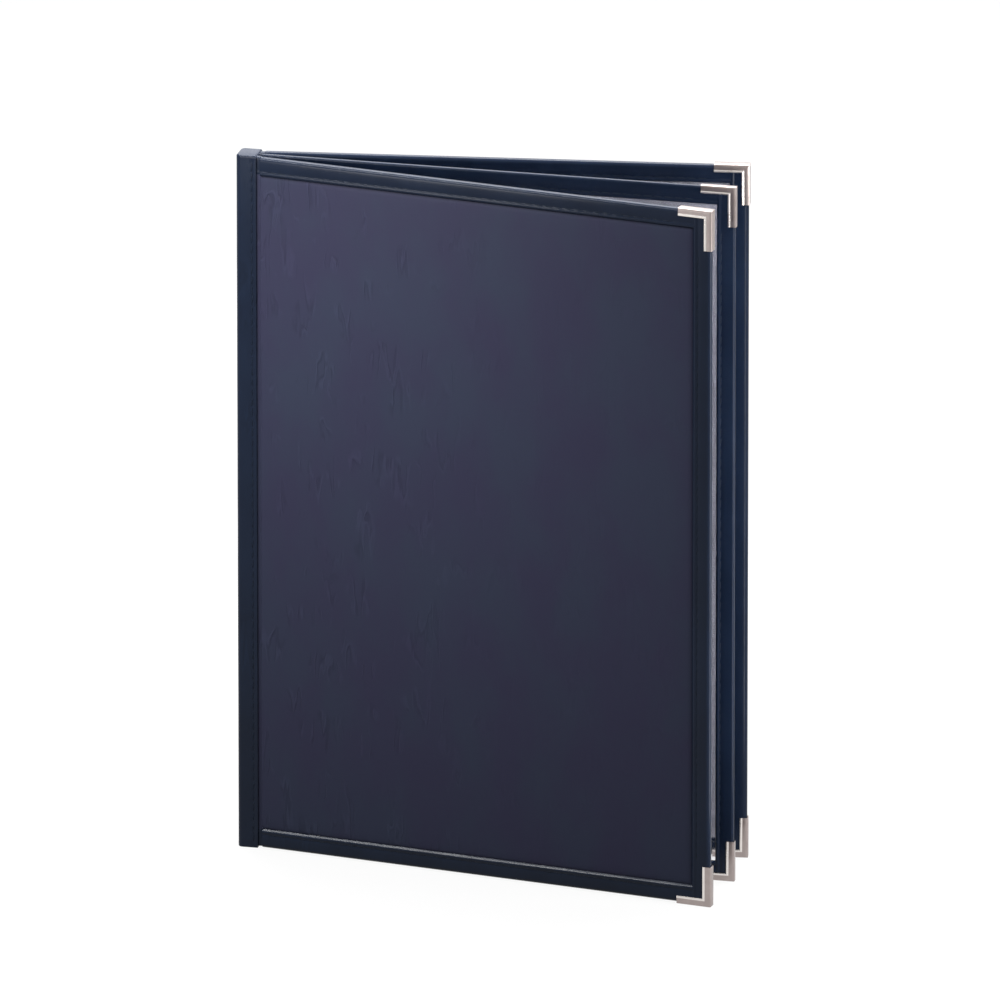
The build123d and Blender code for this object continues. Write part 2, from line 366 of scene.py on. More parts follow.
def paper_board(name, colour, fleck_colour):
    """Lined grey board with pale fibres."""
    material, tree, shader, _ = new_material(name)
    place = add_node(tree, "ShaderNodeTexCoord").outputs["Object"]
    fibres = stretched_noise(tree, place, (900, 900, 260), detail=4.0, distortion=1.2)
    clouds = stretched_noise(tree, place, (30, 30, 30), detail=2.0)
    mixed_colour(tree, shader, ramp_node(tree, fibres, 0.45, 0.75), colour, fleck_colour)
    set_roughness(tree, shader, clouds, 0.75, 0.9)
    set_bump(tree, shader, math_node(tree, "MULTIPLY", fibres, 0.03))
    return material


packing_board = paper_board("packing_board", (0.05, 0.05, 0.055, 1), (0.10, 0.10, 0.10, 1))
PACKING_INNER = 0.0003  # middle plane to each strip
PACKING_OUTER = 0.0042
PACKING_END = spine_high.x - 0.0036
PACKING_GAP = 0.0002  # the spine's back to the strips
PACKING_ROUND = 0.0004
packing_low, packing_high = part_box("spine_filler")

bm = bmesh.new()
for side in (-1, 1):
    strip = bmesh.ops.create_cube(bm, size=1.0)["verts"]
    size = (
        PACKING_END - packing_low.x - PACKING_GAP,
        PACKING_OUTER - PACKING_INNER,
        packing_high.z - packing_low.z,
    )
    bmesh.ops.scale(bm, verts=strip, vec=size)
    centre = (
        (PACKING_END + packing_low.x + PACKING_GAP) / 2,
        side * (PACKING_OUTER + PACKING_INNER) / 2,
        (packing_high.z + packing_low.z) / 2,
    )
    bmesh.ops.translate(bm, verts=strip, vec=centre)
bmesh.ops.bevel(
    bm, geom=bm.edges[:], offset=PACKING_ROUND, offset_type="OFFSET", segments=2,
    profile=0.5, affect="EDGES", material=-1,
)
packing = finish_piece(
    bm, "spine_packing", packing_board, ["spine_filler"], sharp=40
)
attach(packing, "spine")


# Where the three leaves stand. Each is drawn in its own directions, x from its hinge line to the
# fore edge, y through its thickness and z up, and is then turned about its hinge line.

joints = {joint["name"]: joint for joint in frame["joints"]}
COVER_MIDDLE = 0.002125  # a cover's hinge line to the middle of its thickness
COVER_CORE = 0.00265  # skin, board, pocket room and clear sheet
PAGE_CORE = 0.0011  # two clear sheets and the room between them
LEAF_END = 0.217  # hinge line to the outer face of a metal corner
TAPE_INSET = 0.00045  # metal thickness and its fit over the tape
TAPE_WIDTH = 0.0084
TAPE_FOLD = 0.0008
GUTTER = 0.0015  # hinge line to where a leaf's stiff part begins
leaf_height = spine_high.z
tape_end = LEAF_END - TAPE_INSET
sheet_end = tape_end - TAPE_FOLD
sheet_foot = TAPE_INSET + TAPE_FOLD
sheet_top = leaf_height - sheet_foot


class Leaf:
    """One leaf's body, half thickness, outer side (-1 front, 1 back, 0 the page) and place."""

    def __init__(self, name, body, joint_name, side, core):
        joint = joints[joint_name]
        closed = math.radians(joint["range_deg"][0])
        lean = -closed * joint["axis"][2] if side else 0.0
        middle = -side * COVER_MIDDLE
        self.name = name
        self.body = body
        self.side = side
        self.half = core / 2
        self.place = (
            Matrix.Translation(joint["pos_m"])
            @ Matrix.Rotation(lean, 4, "Z")
            @ Matrix.Translation((0, middle, 0))
        )


front = Leaf("front", "front_cover", "front_cover_hinge", -1, COVER_CORE)
page = Leaf("page", "page", "page_hinge", 0, PAGE_CORE)
back = Leaf("back", "back_cover", "back_cover_hinge", 1, COVER_CORE)
leaves = (front, page, back)
covers = (front, back)


# The covers' boards: stiff grey board, seen through the clear pockets on the inner faces.

liner_board = paper_board("liner_board", (0.19, 0.19, 0.215, 1), (0.23, 0.23, 0.25, 1))
for leaf in covers:
    board = frame["nodes"][f"{leaf.name}_board"]
    board.data.materials.clear()
    board.data.materials.append(liner_board)


# The covers' skins: embossed navy leatherette, wrapped over the board and held down all round by
# the edge tape, so that it swells a little between the tapes and creases most near the spine.

SKIN = 0.0002  # the part of its thickness that is modelled, over the board
SWELL = 0.00012  # how far the tape holds it down
SWELL_REACH = 0.003  # how fast the skin rises again away from the tape
GROOVE = 0.00042  # the needle foot's groove along the tape
GROOVE_REACH = 0.0009
BROAD_WAVE = 0.00007  # heights of its waves, and of the finer ones, which grow towards the spine
FINE_WAVE = 0.00004
FINE_REACH = 0.06
PANEL_COLOUR = (0.0390, 0.0388, 0.0740, 1)
PANEL_WORN_COLOUR = (0.0385, 0.0450, 0.0770, 1)

panel_skin = leatherette(
    "panel_leatherette", PANEL_COLOUR, PANEL_WORN_COLOUR, grain=0.020, crease=0.09,
    roughness=(0.40, 0.50), specular=0.06,
)


def flat_sheet(x_low, x_high, columns, rows):
    """A flat grid in XZ from one x to another, over the height between the folds."""
    bm = bmesh.new()
    bmesh.ops.create_grid(bm, x_segments=columns, y_segments=rows, size=0.5)
    size = (x_high - x_low, sheet_top - sheet_foot, 1)
    bmesh.ops.scale(bm, verts=bm.verts, vec=size)
    bmesh.ops.rotate(bm, verts=bm.verts, matrix=Matrix.Rotation(math.pi / 2, 3, "X"))
    centre = ((x_low + x_high) / 2, 0, (sheet_foot + sheet_top) / 2)
    bmesh.ops.translate(bm, verts=bm.verts, vec=centre)
    return bm


def thickened(bm, side, thickness):
    """The sheet gets its thickness, away from the side that shows."""
    made = bmesh.ops.extrude_face_region(bm, geom=bm.faces[:])
    moved = [item for item in made["geom"] if isinstance(item, bmesh.types.BMVert)]
    bmesh.ops.translate(bm, verts=moved, vec=(0, -side * thickness, 0))


def closer_at_ends(place, low, high):
    """An even row of places drawn closer together at both ends."""
    crowding = 0.9
    share = (place - low) / (high - low)
    return place - (high - low) * crowding * math.sin(2 * math.pi * share) / (2 * math.pi)


def make_skin(leaf):
    """One cover's outer sheet. Its pressed attribute tells the material where the groove is, and the
    material darkens it there as painted shadow.
    """
    bm = flat_sheet(GUTTER, sheet_end, columns=130, rows=190)
    inner_x = tape_end - TAPE_WIDTH
    inner_z = TAPE_INSET + TAPE_WIDTH
    pressed = bm.verts.layers.float.new("pressed")
    for v in bm.verts:
        v.co.x = closer_at_ends(v.co.x, GUTTER, sheet_end)
        v.co.z = closer_at_ends(v.co.z, sheet_foot, sheet_top)
        reach = min(inner_x - v.co.x, v.co.z - inner_z, leaf_height - inner_z - v.co.z)
        rise = math.exp(-max(0.0, reach) / SWELL_REACH)
        groove = math.exp(-max(0.0, reach) / GROOVE_REACH)
        wave = noise.noise(Vector((v.co.x * 16, leaf.side * 3.0, v.co.z * 11)))
        near_spine = math.exp(-v.co.x / FINE_REACH)
        fine = noise.noise(Vector((v.co.x * 110, leaf.side * 5.0, v.co.z * 18)))
        ripple = BROAD_WAVE * wave + FINE_WAVE * (0.4 + near_spine) * fine
        level = min(0.0, ripple) - SWELL * rise - GROOVE * groove
        v.co.y = leaf.side * (leaf.half + level)
        # Marks the groove, where the material paints shadow.
        v[pressed] = groove
    thickened(bm, leaf.side, SKIN)
    bm.transform(leaf.place)
    piece = finish_piece(
        bm, f"{leaf.name}_skin", panel_skin, [f"{leaf.name}_leatherette"],
        sharp=60,
    )
    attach(piece, leaf.body)


for leaf in covers:
    make_skin(leaf)


# The clear sheets: flexible vinyl, one as a pocket on each cover's inner face and two back to back
# as the page. Each is caught in the tape on three sides, so it lies in long shallow waves.

VINYL = 0.000245
VINYL_WAVE = 0.00009
SLACK_REACH = 0.02  # tape to where the sheet waves fully
HELD_HEIGHT = 0.009  # at the top and the foot the tape holds this much flat
POCKET_SETBACK = 0.005


def clear_vinyl_material():
    """Clear sheet with a faint grey cast. Shadow rays pass through, as thin clear film lets them."""
    material, tree, shader, surface = new_material("clear_vinyl")
    shader.inputs["Base Color"].default_value = (0.93, 0.93, 0.95, 1)
    shader.inputs["Transmission Weight"].default_value = 1.0
    shader.inputs["IOR"].default_value = 1.5
    place = add_node(tree, "ShaderNodeTexCoord").outputs["Object"]
    haze = stretched_noise(tree, place, (40, 40, 12), detail=3.0)
    ripples = stretched_noise(tree, place, (55, 55, 14), detail=1.0)
    set_roughness(tree, shader, haze, 0.03, 0.09)
    set_bump(tree, shader, math_node(tree, "MULTIPLY", ripples, 0.12))
    clear = add_node(tree, "ShaderNodeBsdfTransparent", {"Color": (0.86, 0.86, 0.88, 1)})
    choice = add_node(tree, "ShaderNodeMixShader")
    path = add_node(tree, "ShaderNodeLightPath")
    tree.links.new(path.outputs["Is Shadow Ray"], choice.inputs["Fac"])
    tree.links.new(shader.outputs["BSDF"], choice.inputs[1])
    tree.links.new(clear.outputs["BSDF"], choice.inputs[2])
    tree.links.new(choice.outputs["Shader"], surface.inputs["Surface"])
    return material


clear_vinyl = clear_vinyl_material()


def make_vinyl(leaf, name, start, face, side, node):
    """One clear sheet whose showing face is at y = face, waving inwards by less than its gap."""
    bm = flat_sheet(start, sheet_end, columns=60, rows=90)
    inner_x = tape_end - TAPE_WIDTH
    for v in bm.verts:
        reach = min(inner_x - v.co.x, v.co.z - HELD_HEIGHT, leaf_height - HELD_HEIGHT - v.co.z)
        slack = min(1.0, max(0.0, reach / SLACK_REACH))
        wave = noise.noise(Vector((v.co.x * 14, face * 4000, v.co.z * 7)))
        v.co.y = face - side * VINYL_WAVE * slack * (1 + wave)
    thickened(bm, side, VINYL)
    bm.transform(leaf.place)
    piece = finish_piece(bm, name, clear_vinyl, [node], sharp=60)
    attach(piece, leaf.body)


for leaf in covers:
    make_vinyl(
        leaf, f"{leaf.name}_pocket", GUTTER + POCKET_SETBACK, -leaf.side * leaf.half,
        -leaf.side, f"{leaf.name}_pocket_vinyl",
    )
make_vinyl(page, "page_front_sheet", GUTTER, -page.half, -1, "page_front_vinyl")
make_vinyl(page, "page_back_sheet", GUTTER, page.half, 1, "page_back_vinyl")


# The edge tapes: the same leatherette in narrow strips, folded over the top, bottom and fore edge
# of each leaf, rounded over the fold and drawn in along the stitch line. On the outer face of a
# cover the tape's inner edge is pressed down into the skin's groove.

TAPE_CROWN = 0.0006  # height over the sheet
TAPE_SECTION = (  # inward from the fold, and height over the sheet
    (0.0084, 0.0),
    (0.00836, 0.00008),
    (0.00820, 0.00025),
    (0.00800, 0.00044),
    (0.00780, 0.00058),
    (0.00752, 0.00065),
    (0.00718, 0.00063),
    (0.00684, 0.00051),
    (0.0064, 0.00035),
    (0.0060, 0.00040),
    (0.0054, 0.00049),
    (0.0047, 0.00056),
    (0.0039, 0.00059),
    (0.0031, TAPE_CROWN),
)
PRESSED_EDGE = (  # what the section's first two points become in the groove
    (0.00876, -0.00036),
    (0.00862, -0.00020),
)
TAPE_NOSE = 0.0019  # depth of the rounded fold
SLOT_END = 0.0083  # how far from the fold the leaf's sheets lie in the tape
STITCH_DEPTH = 0.0064  # fold to the stitch line
LIP_START = 0.0072  # fold to where the free edge begins, which the thread also draws in
LIP_WIDTH = 0.0012
LIP_DIP = 0.00003
LIP_WANDER = 0.00007  # how far the free edge strays from a straight line
TAPE_SWAY = 0.00003


def tape_face(half, sunk):
    """One face of the folded tape, from its inner edge, sunk or not, round its nose."""
    section = PRESSED_EDGE + TAPE_SECTION[2:] if sunk else TAPE_SECTION
    face = [(u, half + h) for u, h in section]
    rim = half + TAPE_CROWN
    nose = min(rim, TAPE_NOSE)
    for i in range(9):
        turn = math.radians(90 * i / 8)
        face.append((nose * (1 - math.sin(turn)), rim * math.cos(turn)))
    return face


def tape_outline(leaf):
    """The folded tape in section: x inward from the fold and y through the leaf."""
    half = leaf.half
    face = tape_face(half, leaf.side == 1)
    other = [(u, -y) for u, y in reversed(tape_face(half, leaf.side == -1)[:-1])]
    slot = [(SLOT_END, -half), (TAPE_FOLD, -half), (TAPE_FOLD, half), (SLOT_END, half)]
    return face + other + slot


def make_tape(leaf, name, length, places, place, node, seed):
    """One folded tape: drawn out, puckered at the needle holes, a little uneven, then placed."""
    bm = drawn_out(tape_outline(leaf), length, SECTION_STEP)
    clear_of_fold = 0.002
    tolerance = 0.00002
    for v in bm.verts:
        outer = abs(v.co.y) > leaf.half + tolerance
        if outer and v.co.x > clear_of_fold:
            reach = math.exp(-(((v.co.x - STITCH_DEPTH) / STITCH_REACH) ** 2))
            lip = max(0.0, (v.co.x - LIP_START) / LIP_WIDTH)
            tug = pull(v.co.z, places)
            sway = noise.noise(Vector((v.co.x * 120, seed, v.co.z * 40)))
            dip = STITCH_DIP * reach * tug + LIP_DIP * lip * tug - TAPE_SWAY * sway
            v.co.y -= math.copysign(dip, v.co.y)
            v.co.x += LIP_WANDER * lip * noise.noise(Vector((seed, 2.0, v.co.z * 70)))
    bm.transform(leaf.place @ place)
    piece = finish_piece(bm, name, tape_skin, [node], sharp=60)
    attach(piece, leaf.body)


CORNER_LEG = 0.016  # the metal corners' reach along the leaf, and up its fore edge
CORNER_RISE = 0.0186
TAPE_LAP = 0.0006  # how far the level tapes run into the side tape
side_length = leaf_height - 2 * TAPE_INSET
level_length = tape_end - TAPE_WIDTH - GUTTER + TAPE_LAP
side_places = stitch_places(CORNER_RISE + STITCH_END, leaf_height - CORNER_RISE - STITCH_END)
level_places = stitch_places(GUTTER + STITCH_END, LEAF_END - CORNER_LEG - STITCH_END)
side_seam = [z - TAPE_INSET for z in side_places]  # the same places, from the tapes' own ends
level_seam = [x - GUTTER for x in level_places]
SIDE_FOLD = Matrix(((-1, 0, 0, tape_end), (0, 1, 0, 0), (0, 0, 1, TAPE_INSET), (0, 0, 0, 1)))
TOP_FOLD = Matrix(
    ((0, 0, 1, GUTTER), (0, 1, 0, 0), (-1, 0, 0, leaf_height - TAPE_INSET), (0, 0, 0, 1))
)
FOOT_FOLD = Matrix(((0, 0, 1, GUTTER), (0, 1, 0, 0), (1, 0, 0, TAPE_INSET), (0, 0, 0, 1)))

for number, leaf in enumerate(leaves):
    make_tape(
        leaf, f"{leaf.name}_side_tape", side_length, side_seam, SIDE_FOLD,
        f"{leaf.name}_side_binding", number * 3.0,
    )
    make_tape(
        leaf, f"{leaf.name}_top_tape", level_length, level_seam, TOP_FOLD,
        f"{leaf.name}_top_binding", number * 3.0 + 1.0,
    )
    make_tape(
        leaf, f"{leaf.name}_bottom_tape", level_length, level_seam, FOOT_FOLD,
        f"{leaf.name}_bottom_binding", number * 3.0 + 2.0,
    )


# The hinges: each leaf's skin and tape run on, soft, into the mouth of the spine, where the tape is
# pressed thinner. They thin down at a shoulder just short of the leaf's stiff part, which leaves
# room to swing.

HINGE_DEEP = spine_high.x - 0.0013  # where the soft part ends, inside the mouth
COVER_TAB = 0.0034  # middle plane to a cover's middle in the mouth
MOUTH_PRESS = 0.85  # share of the tape's height that the mouth presses flat
SOFT_LENGTH = 0.0033
SHOULDER = 0.2  # share of that length in which the leaf thins down from its stiff part
SOFT_STEP = 0.00018
COVER_LAP = 0.0001  # how far a hinge skin runs on past the edge of the leaf's stiff part
PAGE_LAP = 0.0065
COVER_SOFT_SKIN = 0.0005  # thickness of a cover's hinge skin, and half of the page's
PAGE_SOFT_HALF = 0.00015
SOFT_RIPPLE = 0.00004
mouth_middle = {-1: -COVER_TAB, 0: 0.0, 1: COVER_TAB}


def bend_into_spine(bm, leaf):
    """Vertices short of the leaf's stiff part are led from the leaf's line into the mouth."""
    for v in bm.verts:
        short = max(0.0, min(1.0, (GUTTER - v.co.x) / SOFT_LENGTH))
        down = min(1.0, short / SHOULDER)
        turned = down * down * (3 - 2 * down)
        over = max(0.0, abs(v.co.y) - leaf.half)
        pressed = math.copysign(min(abs(v.co.y), leaf.half) + over * (1 - MOUTH_PRESS), v.co.y)
        straight = leaf.place @ Vector((v.co.x, v.co.y, v.co.z))
        gutter_x = (leaf.place @ Vector((GUTTER, 0, 0))).x
        inside = Vector(
            (
                gutter_x + (HINGE_DEEP - gutter_x) * short,
                mouth_middle[leaf.side] + pressed,
                v.co.z,
            )
        )
        v.co = straight.lerp(inside, turned)


def blend_hinge(piece):
    """The piece's placement is baked into its mesh."""
    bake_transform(piece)


def make_hinge_skin(leaf, low_y, high_y, lap):
    """The skin between the tapes, from inside the spine to a little past the leaf's stiff edge."""
    bm = bmesh.new()
    bmesh.ops.create_grid(bm, x_segments=22, y_segments=120, size=0.5)
    width = SOFT_LENGTH + lap
    bmesh.ops.scale(bm, verts=bm.verts, vec=(width, sheet_top - sheet_foot, 1))
    bmesh.ops.rotate(bm, verts=bm.verts, matrix=Matrix.Rotation(math.pi / 2, 3, "X"))
    centre = (GUTTER + (lap - SOFT_LENGTH) / 2, low_y, (sheet_foot + sheet_top) / 2)
    bmesh.ops.translate(bm, verts=bm.verts, vec=centre)
    for v in bm.verts:
        ripple = noise.noise(Vector((v.co.x * 90, low_y * 900, v.co.z * 60)))
        v.co.y += SOFT_RIPPLE * ripple
    thickened(bm, -1, high_y - low_y)
    bend_into_spine(bm, leaf)
    piece = finish_piece(
        bm, f"{leaf.name}_hinge_skin", panel_skin, [f"{leaf.name}_hinge_strip"],
        sharp=60,
    )
    blend_hinge(piece)


def make_hinge_tape(leaf, edge, fold):
    """The tape's own run into the spine: the folded section, closed at both ends."""
    bm = drawn_out(tape_outline(leaf), SOFT_LENGTH, SOFT_STEP)
    bmesh.ops.translate(bm, verts=bm.verts, vec=(0, 0, -SOFT_LENGTH))
    bm.transform(fold)
    bend_into_spine(bm, leaf)
    piece = finish_piece(
        bm, f"{leaf.name}_{edge}_hinge_tape", tape_skin,
        [f"{leaf.name}_hinge_strip"], sharp=60,
    )
    blend_hinge(piece)


for leaf in leaves:
    if leaf.side:
        outer = leaf.side * leaf.half
        inner = leaf.side * (leaf.half - COVER_SOFT_SKIN)
        make_hinge_skin(leaf, min(outer, inner), max(outer, inner), COVER_LAP)
    else:
        make_hinge_skin(leaf, -PAGE_SOFT_HALF, PAGE_SOFT_HALF, PAGE_LAP)
    make_hinge_tape(leaf, "top", TOP_FOLD)
    make_hinge_tape(leaf, "bottom", FOOT_FOLD)


# The thread: bonded navy yarn in a lockstitch along every tape, through both faces. Each stitch
# dives into its needle holes at both ends and leans a little across the line, with the twist.

STITCH_LENGTH = 0.0041
STITCH_THICK = 0.0006
STITCH_LIFT = 0.00024  # a leaf's sheet to the middle of the thread
STITCH_SINK = 0.0002  # the spine's side to the middle of the thread
THREAD_COLOUR = (0.006, 0.010, 0.020, 1)
THREAD_LIT_COLOUR = (0.012, 0.019, 0.036, 1)
random.seed(11)


def thread_material():
    """Bonded yarn: the twist runs across each stitch, with a dull sheen."""
    material, tree, shader, _ = new_material("navy_thread")
    place = add_node(tree, "ShaderNodeTexCoord").outputs["Object"]
    lay = add_node(tree, "ShaderNodeTexWave", {"Scale": 900.0, "Distortion": 1.5})
    lay.bands_direction = "DIAGONAL"
    tree.links.new(place, lay.inputs["Vector"])
    mixed_colour(tree, shader, lay.outputs["Fac"], THREAD_COLOUR, THREAD_LIT_COLOUR)
    set_roughness(tree, shader, lay.outputs["Fac"], 0.45, 0.6)
    set_bump(tree, shader, math_node(tree, "MULTIPLY", lay.outputs["Fac"], 0.05))
    shader.inputs["Specular IOR Level"].default_value = 0.10
    return material


navy_thread = thread_material()


def add_run(bm, places, along, out):
    """A row of slim rounded bars, laid along their line and leaned a few degrees."""
    run = bmesh.new()
    across = along.cross(out).normalized()
    for centre in places:
        length = STITCH_LENGTH * random.uniform(0.96, 1.03)
        lean = math.radians(random.uniform(2.0, 6.0))
        heading = along * math.cos(lean) + across * math.sin(lean)
        side = heading.cross(out).normalized()
        turn = Matrix((side, out, heading)).transposed().to_4x4()
        size = Matrix.Diagonal((STITCH_THICK, STITCH_THICK, length, 1))
        place = Matrix.Translation(centre) @ turn @ size
        bmesh.ops.create_uvsphere(run, u_segments=6, v_segments=6, radius=0.5, matrix=place)
    mesh = bpy.data.meshes.new("run")
    run.to_mesh(mesh)
    run.free()
    bm.from_mesh(mesh)
    bpy.data.meshes.remove(mesh)


def make_leaf_stitching(leaf):
    """Both faces of the three runs of one leaf."""
    bm = bmesh.new()
    up, ahead = Vector((0, 0, 1)), Vector((1, 0, 0))
    for side in (-1, 1):
        out = Vector((0, side, 0))
        y = side * (leaf.half + STITCH_LIFT)
        add_run(bm, [(tape_end - STITCH_DEPTH, y, z) for z in side_places], up, out)
        for z in (TAPE_INSET + STITCH_DEPTH, leaf_height - TAPE_INSET - STITCH_DEPTH):
            add_run(bm, [(x, y, z) for x in level_places], ahead, out)
    bm.transform(leaf.place)
    piece = finish_piece(
        bm, f"{leaf.name}_thread", navy_thread, [f"{leaf.name}_stitching"], sharp=80
    )
    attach(piece, leaf.body)


def make_spine_stitching():
    """The run along both faces of the spine."""
    bm = bmesh.new()
    for side in (-1, 1):
        y = side * (spine_high.y - STITCH_SINK)
        places = [(spine_line_x, y, z) for z in spine_places]
        add_run(bm, places, Vector((0, 0, 1)), Vector((0, side, 0)))
    piece = finish_piece(
        bm, "spine_thread", navy_thread, ["spine_stitching"], sharp=80
    )
    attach(piece, "spine")


for leaf in leaves:
    make_leaf_stitching(leaf)
make_spine_stitching()


# The metal corners: satin nickel strip, rolled with a bead along each inner edge, mitred to an L,
# folded round both edges of the leaf and pressed on over the tape. The bead's outer faces get a much
# lighter copy of the nickel, as a painted highlight.

CORNER_BAND = 0.0037
BEAD = 0.00112  # width of the bead, which a painted highlight makes bright
CORNER_SINK = 0.00022  # the plate lies this far under the top of its bead
CORNER_THICK = 0.00028
CORNER_TOP = TAPE_CROWN + TAPE_INSET  # sheet to the top of the bead
CORNER_LIP = 0.00034  # sheet to the strip's inner edge
HIGHLIGHT_FROM = 0.0005  # sheet to the lowest part of the bead that gets the painted highlight


def nickel_material(name, dull_colour, colour, roughness):
    """Plated strip with fine scratches and duller patches."""
    material, tree, shader, _ = new_material(name)
    place = add_node(tree, "ShaderNodeTexCoord").outputs["Object"]
    scratches = stretched_noise(tree, place, (1800, 1800, 1800), detail=3.0)
    patches = stretched_noise(tree, place, (240, 240, 240), detail=3.0)
    mixed_colour(tree, shader, patches, dull_colour, colour)
    set_roughness(tree, shader, patches, *roughness)
    set_bump(tree, shader, math_node(tree, "MULTIPLY", scratches, 0.004))
    shader.inputs["Metallic"].default_value = 1.0
    return material


satin_nickel = nickel_material(
    "satin_nickel", (0.28, 0.235, 0.225, 1), (0.40, 0.345, 0.33, 1), roughness=(0.28, 0.36)
)
# Painted highlight: a much lighter copy of the nickel, for the outer faces of the bead.
highlight_nickel = nickel_material(
    "highlight_nickel", (0.64, 0.59, 0.56, 1), (0.74, 0.70, 0.67, 1), roughness=(0.24, 0.32)
)


def clip_outline(half):
    """The strip's closed section: u inward from the fold and t through the leaf."""
    plate = half + CORNER_TOP - CORNER_SINK
    bead = half + CORNER_TOP
    face = [
        (CORNER_BAND, half + CORNER_LIP),
        (CORNER_BAND + 0.00004, half + TAPE_CROWN),
        (CORNER_BAND - 0.00006, bead - 0.00012),
        (CORNER_BAND - 0.00026, bead - 0.00002),
        (CORNER_BAND - 0.00048, bead),
        (CORNER_BAND - 0.00070, bead - 0.00003),
        (CORNER_BAND - 0.00092, bead - 0.00013),
        (CORNER_BAND - 0.00110, plate),
        (CORNER_BAND - 0.00160, plate + 0.00004),
        (CORNER_BAND - 0.00230, plate + 0.00005),
        (0.00030, plate + 0.00001),
        (0.00010, plate - 0.00007),
        (0.0, plate - 0.00025),
    ]
    inner = [(CORNER_THICK, -half - CORNER_LIP), (CORNER_THICK, half + CORNER_LIP)]
    return face + [(u, -t) for u, t in reversed(face)] + inner


def make_corner(leaf, edge):
    """One clip: the section runs up the fore edge, turns at the mitre and runs along the leaf."""
    start_z = leaf_height - CORNER_RISE
    bm = bmesh.new()
    outline = [(LEAF_END - u, t, start_z) for u, t in clip_outline(leaf.half)]
    end = bm.faces.new([bm.verts.new(point) for point in outline])
    inset = {v: LEAF_END - v.co.x for v in end.verts}
    for at_mitre in (True, False):
        before = {v.co.to_tuple(7): inset[v] for v in end.verts}
        made = bmesh.ops.extrude_face_region(bm, geom=[end])
        end = next(item for item in made["geom"] if isinstance(item, bmesh.types.BMFace))
        inset = {v: before[v.co.to_tuple(7)] for v in end.verts}
        for v in end.verts:
            v.co.x = LEAF_END - (inset[v] if at_mitre else CORNER_LEG)
            v.co.z = leaf_height - inset[v]
    for face in bm.faces:
        middle = face.calc_center_median()
        depth = min(LEAF_END - middle.x, leaf_height - middle.z)
        # Painted highlight: the bead's outer faces take the lighter copy of the nickel.
        if depth > CORNER_BAND - BEAD and abs(middle.y) > leaf.half + HIGHLIGHT_FROM:
            face.material_index = 1
    if edge == "bottom":
        bmesh.ops.scale(bm, verts=bm.verts, vec=(1, 1, -1))
        bmesh.ops.translate(bm, verts=bm.verts, vec=(0, 0, leaf_height))
    bm.transform(leaf.place)
    piece = finish_piece(
        bm, f"{leaf.name}_{edge}_clip", satin_nickel,
        [f"{leaf.name}_{edge}_corner"], sharp=32,
    )
    piece.data.materials.append(highlight_nickel)
    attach(piece, leaf.body)


for leaf in leaves:
    for edge in ("top", "bottom"):
        make_corner(leaf, edge)


# The floor: a wide flat sheet that looks white to the camera, in gloss and through the clear sheets,
# and still takes the cover's shadow. Its own grey is dark, so it throws little light at the covers.

FLOOR_REACH = 8.0  # middle to each side
FLOOR_GREY = (0.08, 0.08, 0.08, 1)
FLOOR_GLOW = 0.90

floor_bm = bmesh.new()
bmesh.ops.create_grid(floor_bm, x_segments=1, y_segments=1, size=FLOOR_REACH)
floor_mesh = bpy.data.meshes.new("floor")
floor_bm.to_mesh(floor_mesh)
floor_bm.free()
floor = bpy.data.objects.new("floor", floor_mesh)
bpy.context.scene.collection.objects.link(floor)


def backdrop_rays(tree):
    """1 for the rays that should see the white backdrop: from the camera, gloss and clear sheet."""
    path = add_node(tree, "ShaderNodeLightPath")
    seen = math_node(
        tree, "MAXIMUM", path.outputs["Is Camera Ray"], path.outputs["Is Glossy Ray"]
    )
    return math_node(tree, "MAXIMUM", seen, path.outputs["Is Transmission Ray"])


floor_paint = bpy.data.materials.new("floor_paint")
floor_paint.use_nodes = True
floor_tree = floor_paint.node_tree
floor_tree.nodes.clear()
matt = add_node(floor_tree, "ShaderNodeBsdfDiffuse", {"Color": FLOOR_GREY})
glow = add_node(floor_tree, "ShaderNodeEmission")
glow_strength = math_node(floor_tree, "MULTIPLY", backdrop_rays(floor_tree), FLOOR_GLOW)
floor_tree.links.new(glow_strength, glow.inputs["Strength"])
both = add_node(floor_tree, "ShaderNodeAddShader")
floor_surface = add_node(floor_tree, "ShaderNodeOutputMaterial")
floor_tree.links.new(matt.outputs["BSDF"], both.inputs[0])
floor_tree.links.new(glow.outputs["Emission"], both.inputs[1])
floor_tree.links.new(both.outputs["Shader"], floor_surface.inputs["Surface"])
floor_mesh.materials.append(floor_paint)


# The lamps: a large soft box above and behind, a small key at the front near the spine, a long strip
# high at the left that draws the bright lines on the folds, and soft fills from the right, from
# beside the fore edge and from the back. The world is white to the same rays as the floor.

SKY_GLOW = 0.95
SKY_LIGHT = 0.05  # what the world gives to every ray


def soft_box(name, place, aim, width, height, power):
    """A rectangular area lamp that faces a point. Sizes in metres, power in watts."""
    lamp = bpy.data.lights.new(name, "AREA")
    lamp.shape = "RECTANGLE"
    lamp.size = width
    lamp.size_y = height
    lamp.energy = power
    holder = bpy.data.objects.new(name, lamp)
    bpy.context.scene.collection.objects.link(holder)
    holder.location = place
    holder.visible_camera = False
    facing = Vector(aim) - Vector(place)
    holder.rotation_euler = facing.to_track_quat("-Z", "Y").to_euler()


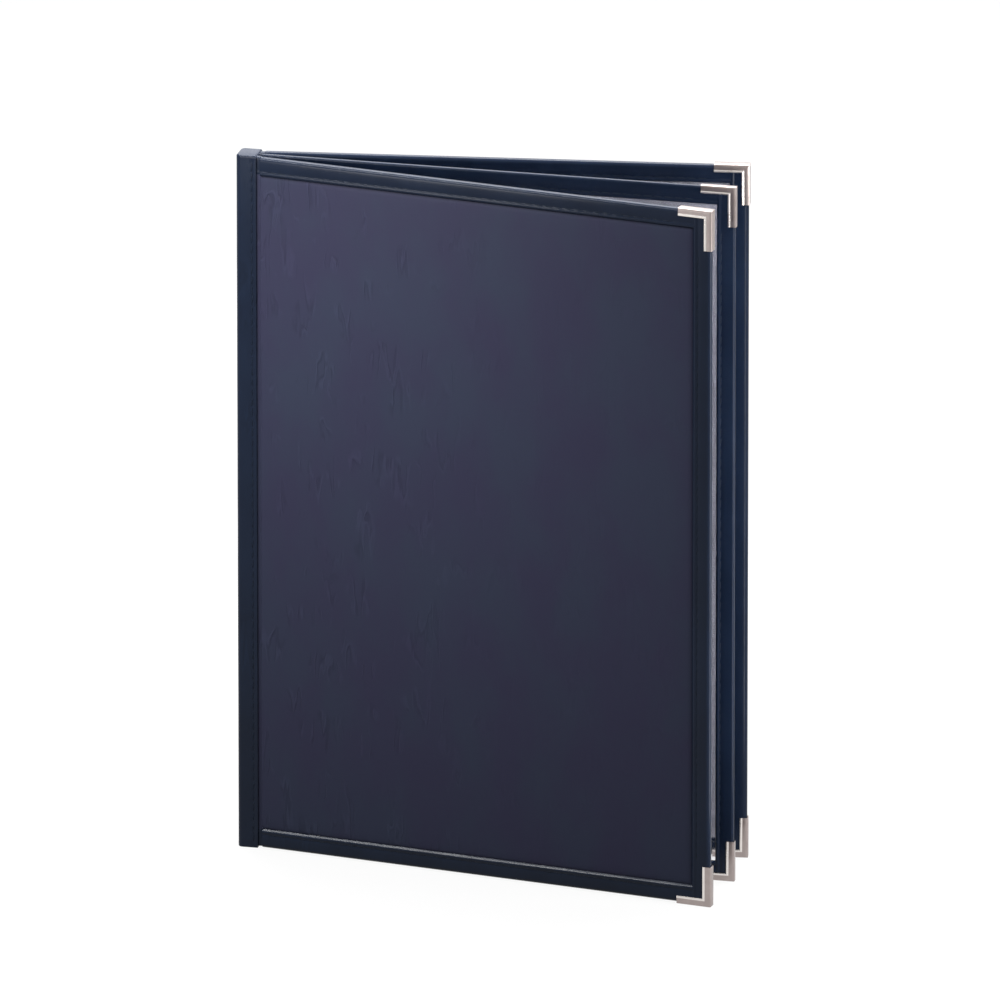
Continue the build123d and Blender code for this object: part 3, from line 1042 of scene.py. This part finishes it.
soft_box("overhead", (0.10, 0.38, 1.10), (0.10, 0.381, 0.0), width=1.0, height=0.64, power=36)
soft_box("key", (-0.03, -0.22, 0.325), (0.02, 0.0, 0.18), width=0.14, height=0.14, power=0.54)
soft_box("top_strip", (-0.36, -0.38, 1.02), (0.1, -0.02, 0.2), width=0.5, height=0.04, power=7.0)
soft_box("right_fill", (1.06, -0.18, 0.42), (0.2, 0.0, 0.24), width=0.5, height=0.5, power=5)
soft_box("edge_card", (0.27, -0.040, 0.18), (0.21, 0.0, 0.18), width=0.02, height=0.31, power=0.20)
soft_box("back_fill", (-0.1, 1.3, 0.95), (0.1, 0.0, 0.3), width=1.4, height=0.8, power=7)

world = bpy.data.worlds.new("studio")
bpy.context.scene.world = world
world.use_nodes = True
world_tree = world.node_tree
world_tree.nodes.clear()
sky = add_node(world_tree, "ShaderNodeBackground")
world_surface = add_node(world_tree, "ShaderNodeOutputWorld")
backdrop = math_node(world_tree, "MULTIPLY", backdrop_rays(world_tree), SKY_GLOW)
world_tree.links.new(math_node(world_tree, "ADD", backdrop, SKY_LIGHT), sky.inputs["Strength"])
world_tree.links.new(sky.outputs["Background"], world_surface.inputs["Surface"])


# The camera: a long lens from the fore-edge side, looking a little down.

CAMERA_TURN = math.radians(13.54)
CAMERA_PITCH = math.radians(18.04)
CAMERA_DISTANCE = 12.0
PIXELS_PER_METRE = 2250.6
FRAME_PIXELS = 1000
SUBJECT = Vector((0.105, -0.010, 0.158))
SUBJECT_PIXEL = (473.7, 531.4)

camera_right = Vector((math.cos(CAMERA_TURN), math.sin(CAMERA_TURN), 0))
level_view = Vector((-math.sin(CAMERA_TURN), math.cos(CAMERA_TURN), 0))
camera_view = level_view * math.cos(CAMERA_PITCH) - Vector((0, 0, math.sin(CAMERA_PITCH)))
camera_up = camera_right.cross(camera_view)
aim = (
    SUBJECT
    + camera_right * ((FRAME_PIXELS / 2 - SUBJECT_PIXEL[0]) / PIXELS_PER_METRE)
    - camera_up * ((FRAME_PIXELS / 2 - SUBJECT_PIXEL[1]) / PIXELS_PER_METRE)
)
lens = bpy.data.cameras.new("camera")
lens.sensor_width = 36
lens.lens = PIXELS_PER_METRE * CAMERA_DISTANCE / FRAME_PIXELS * lens.sensor_width
lens.clip_end = 100
camera = bpy.data.objects.new("camera", lens)
bpy.context.scene.collection.objects.link(camera)
camera.location = aim - camera_view * CAMERA_DISTANCE
camera.rotation_euler = camera_view.to_track_quat("-Z", "Y").to_euler()
bpy.context.scene.camera = camera
bpy.context.scene.view_settings.view_transform = "Standard"
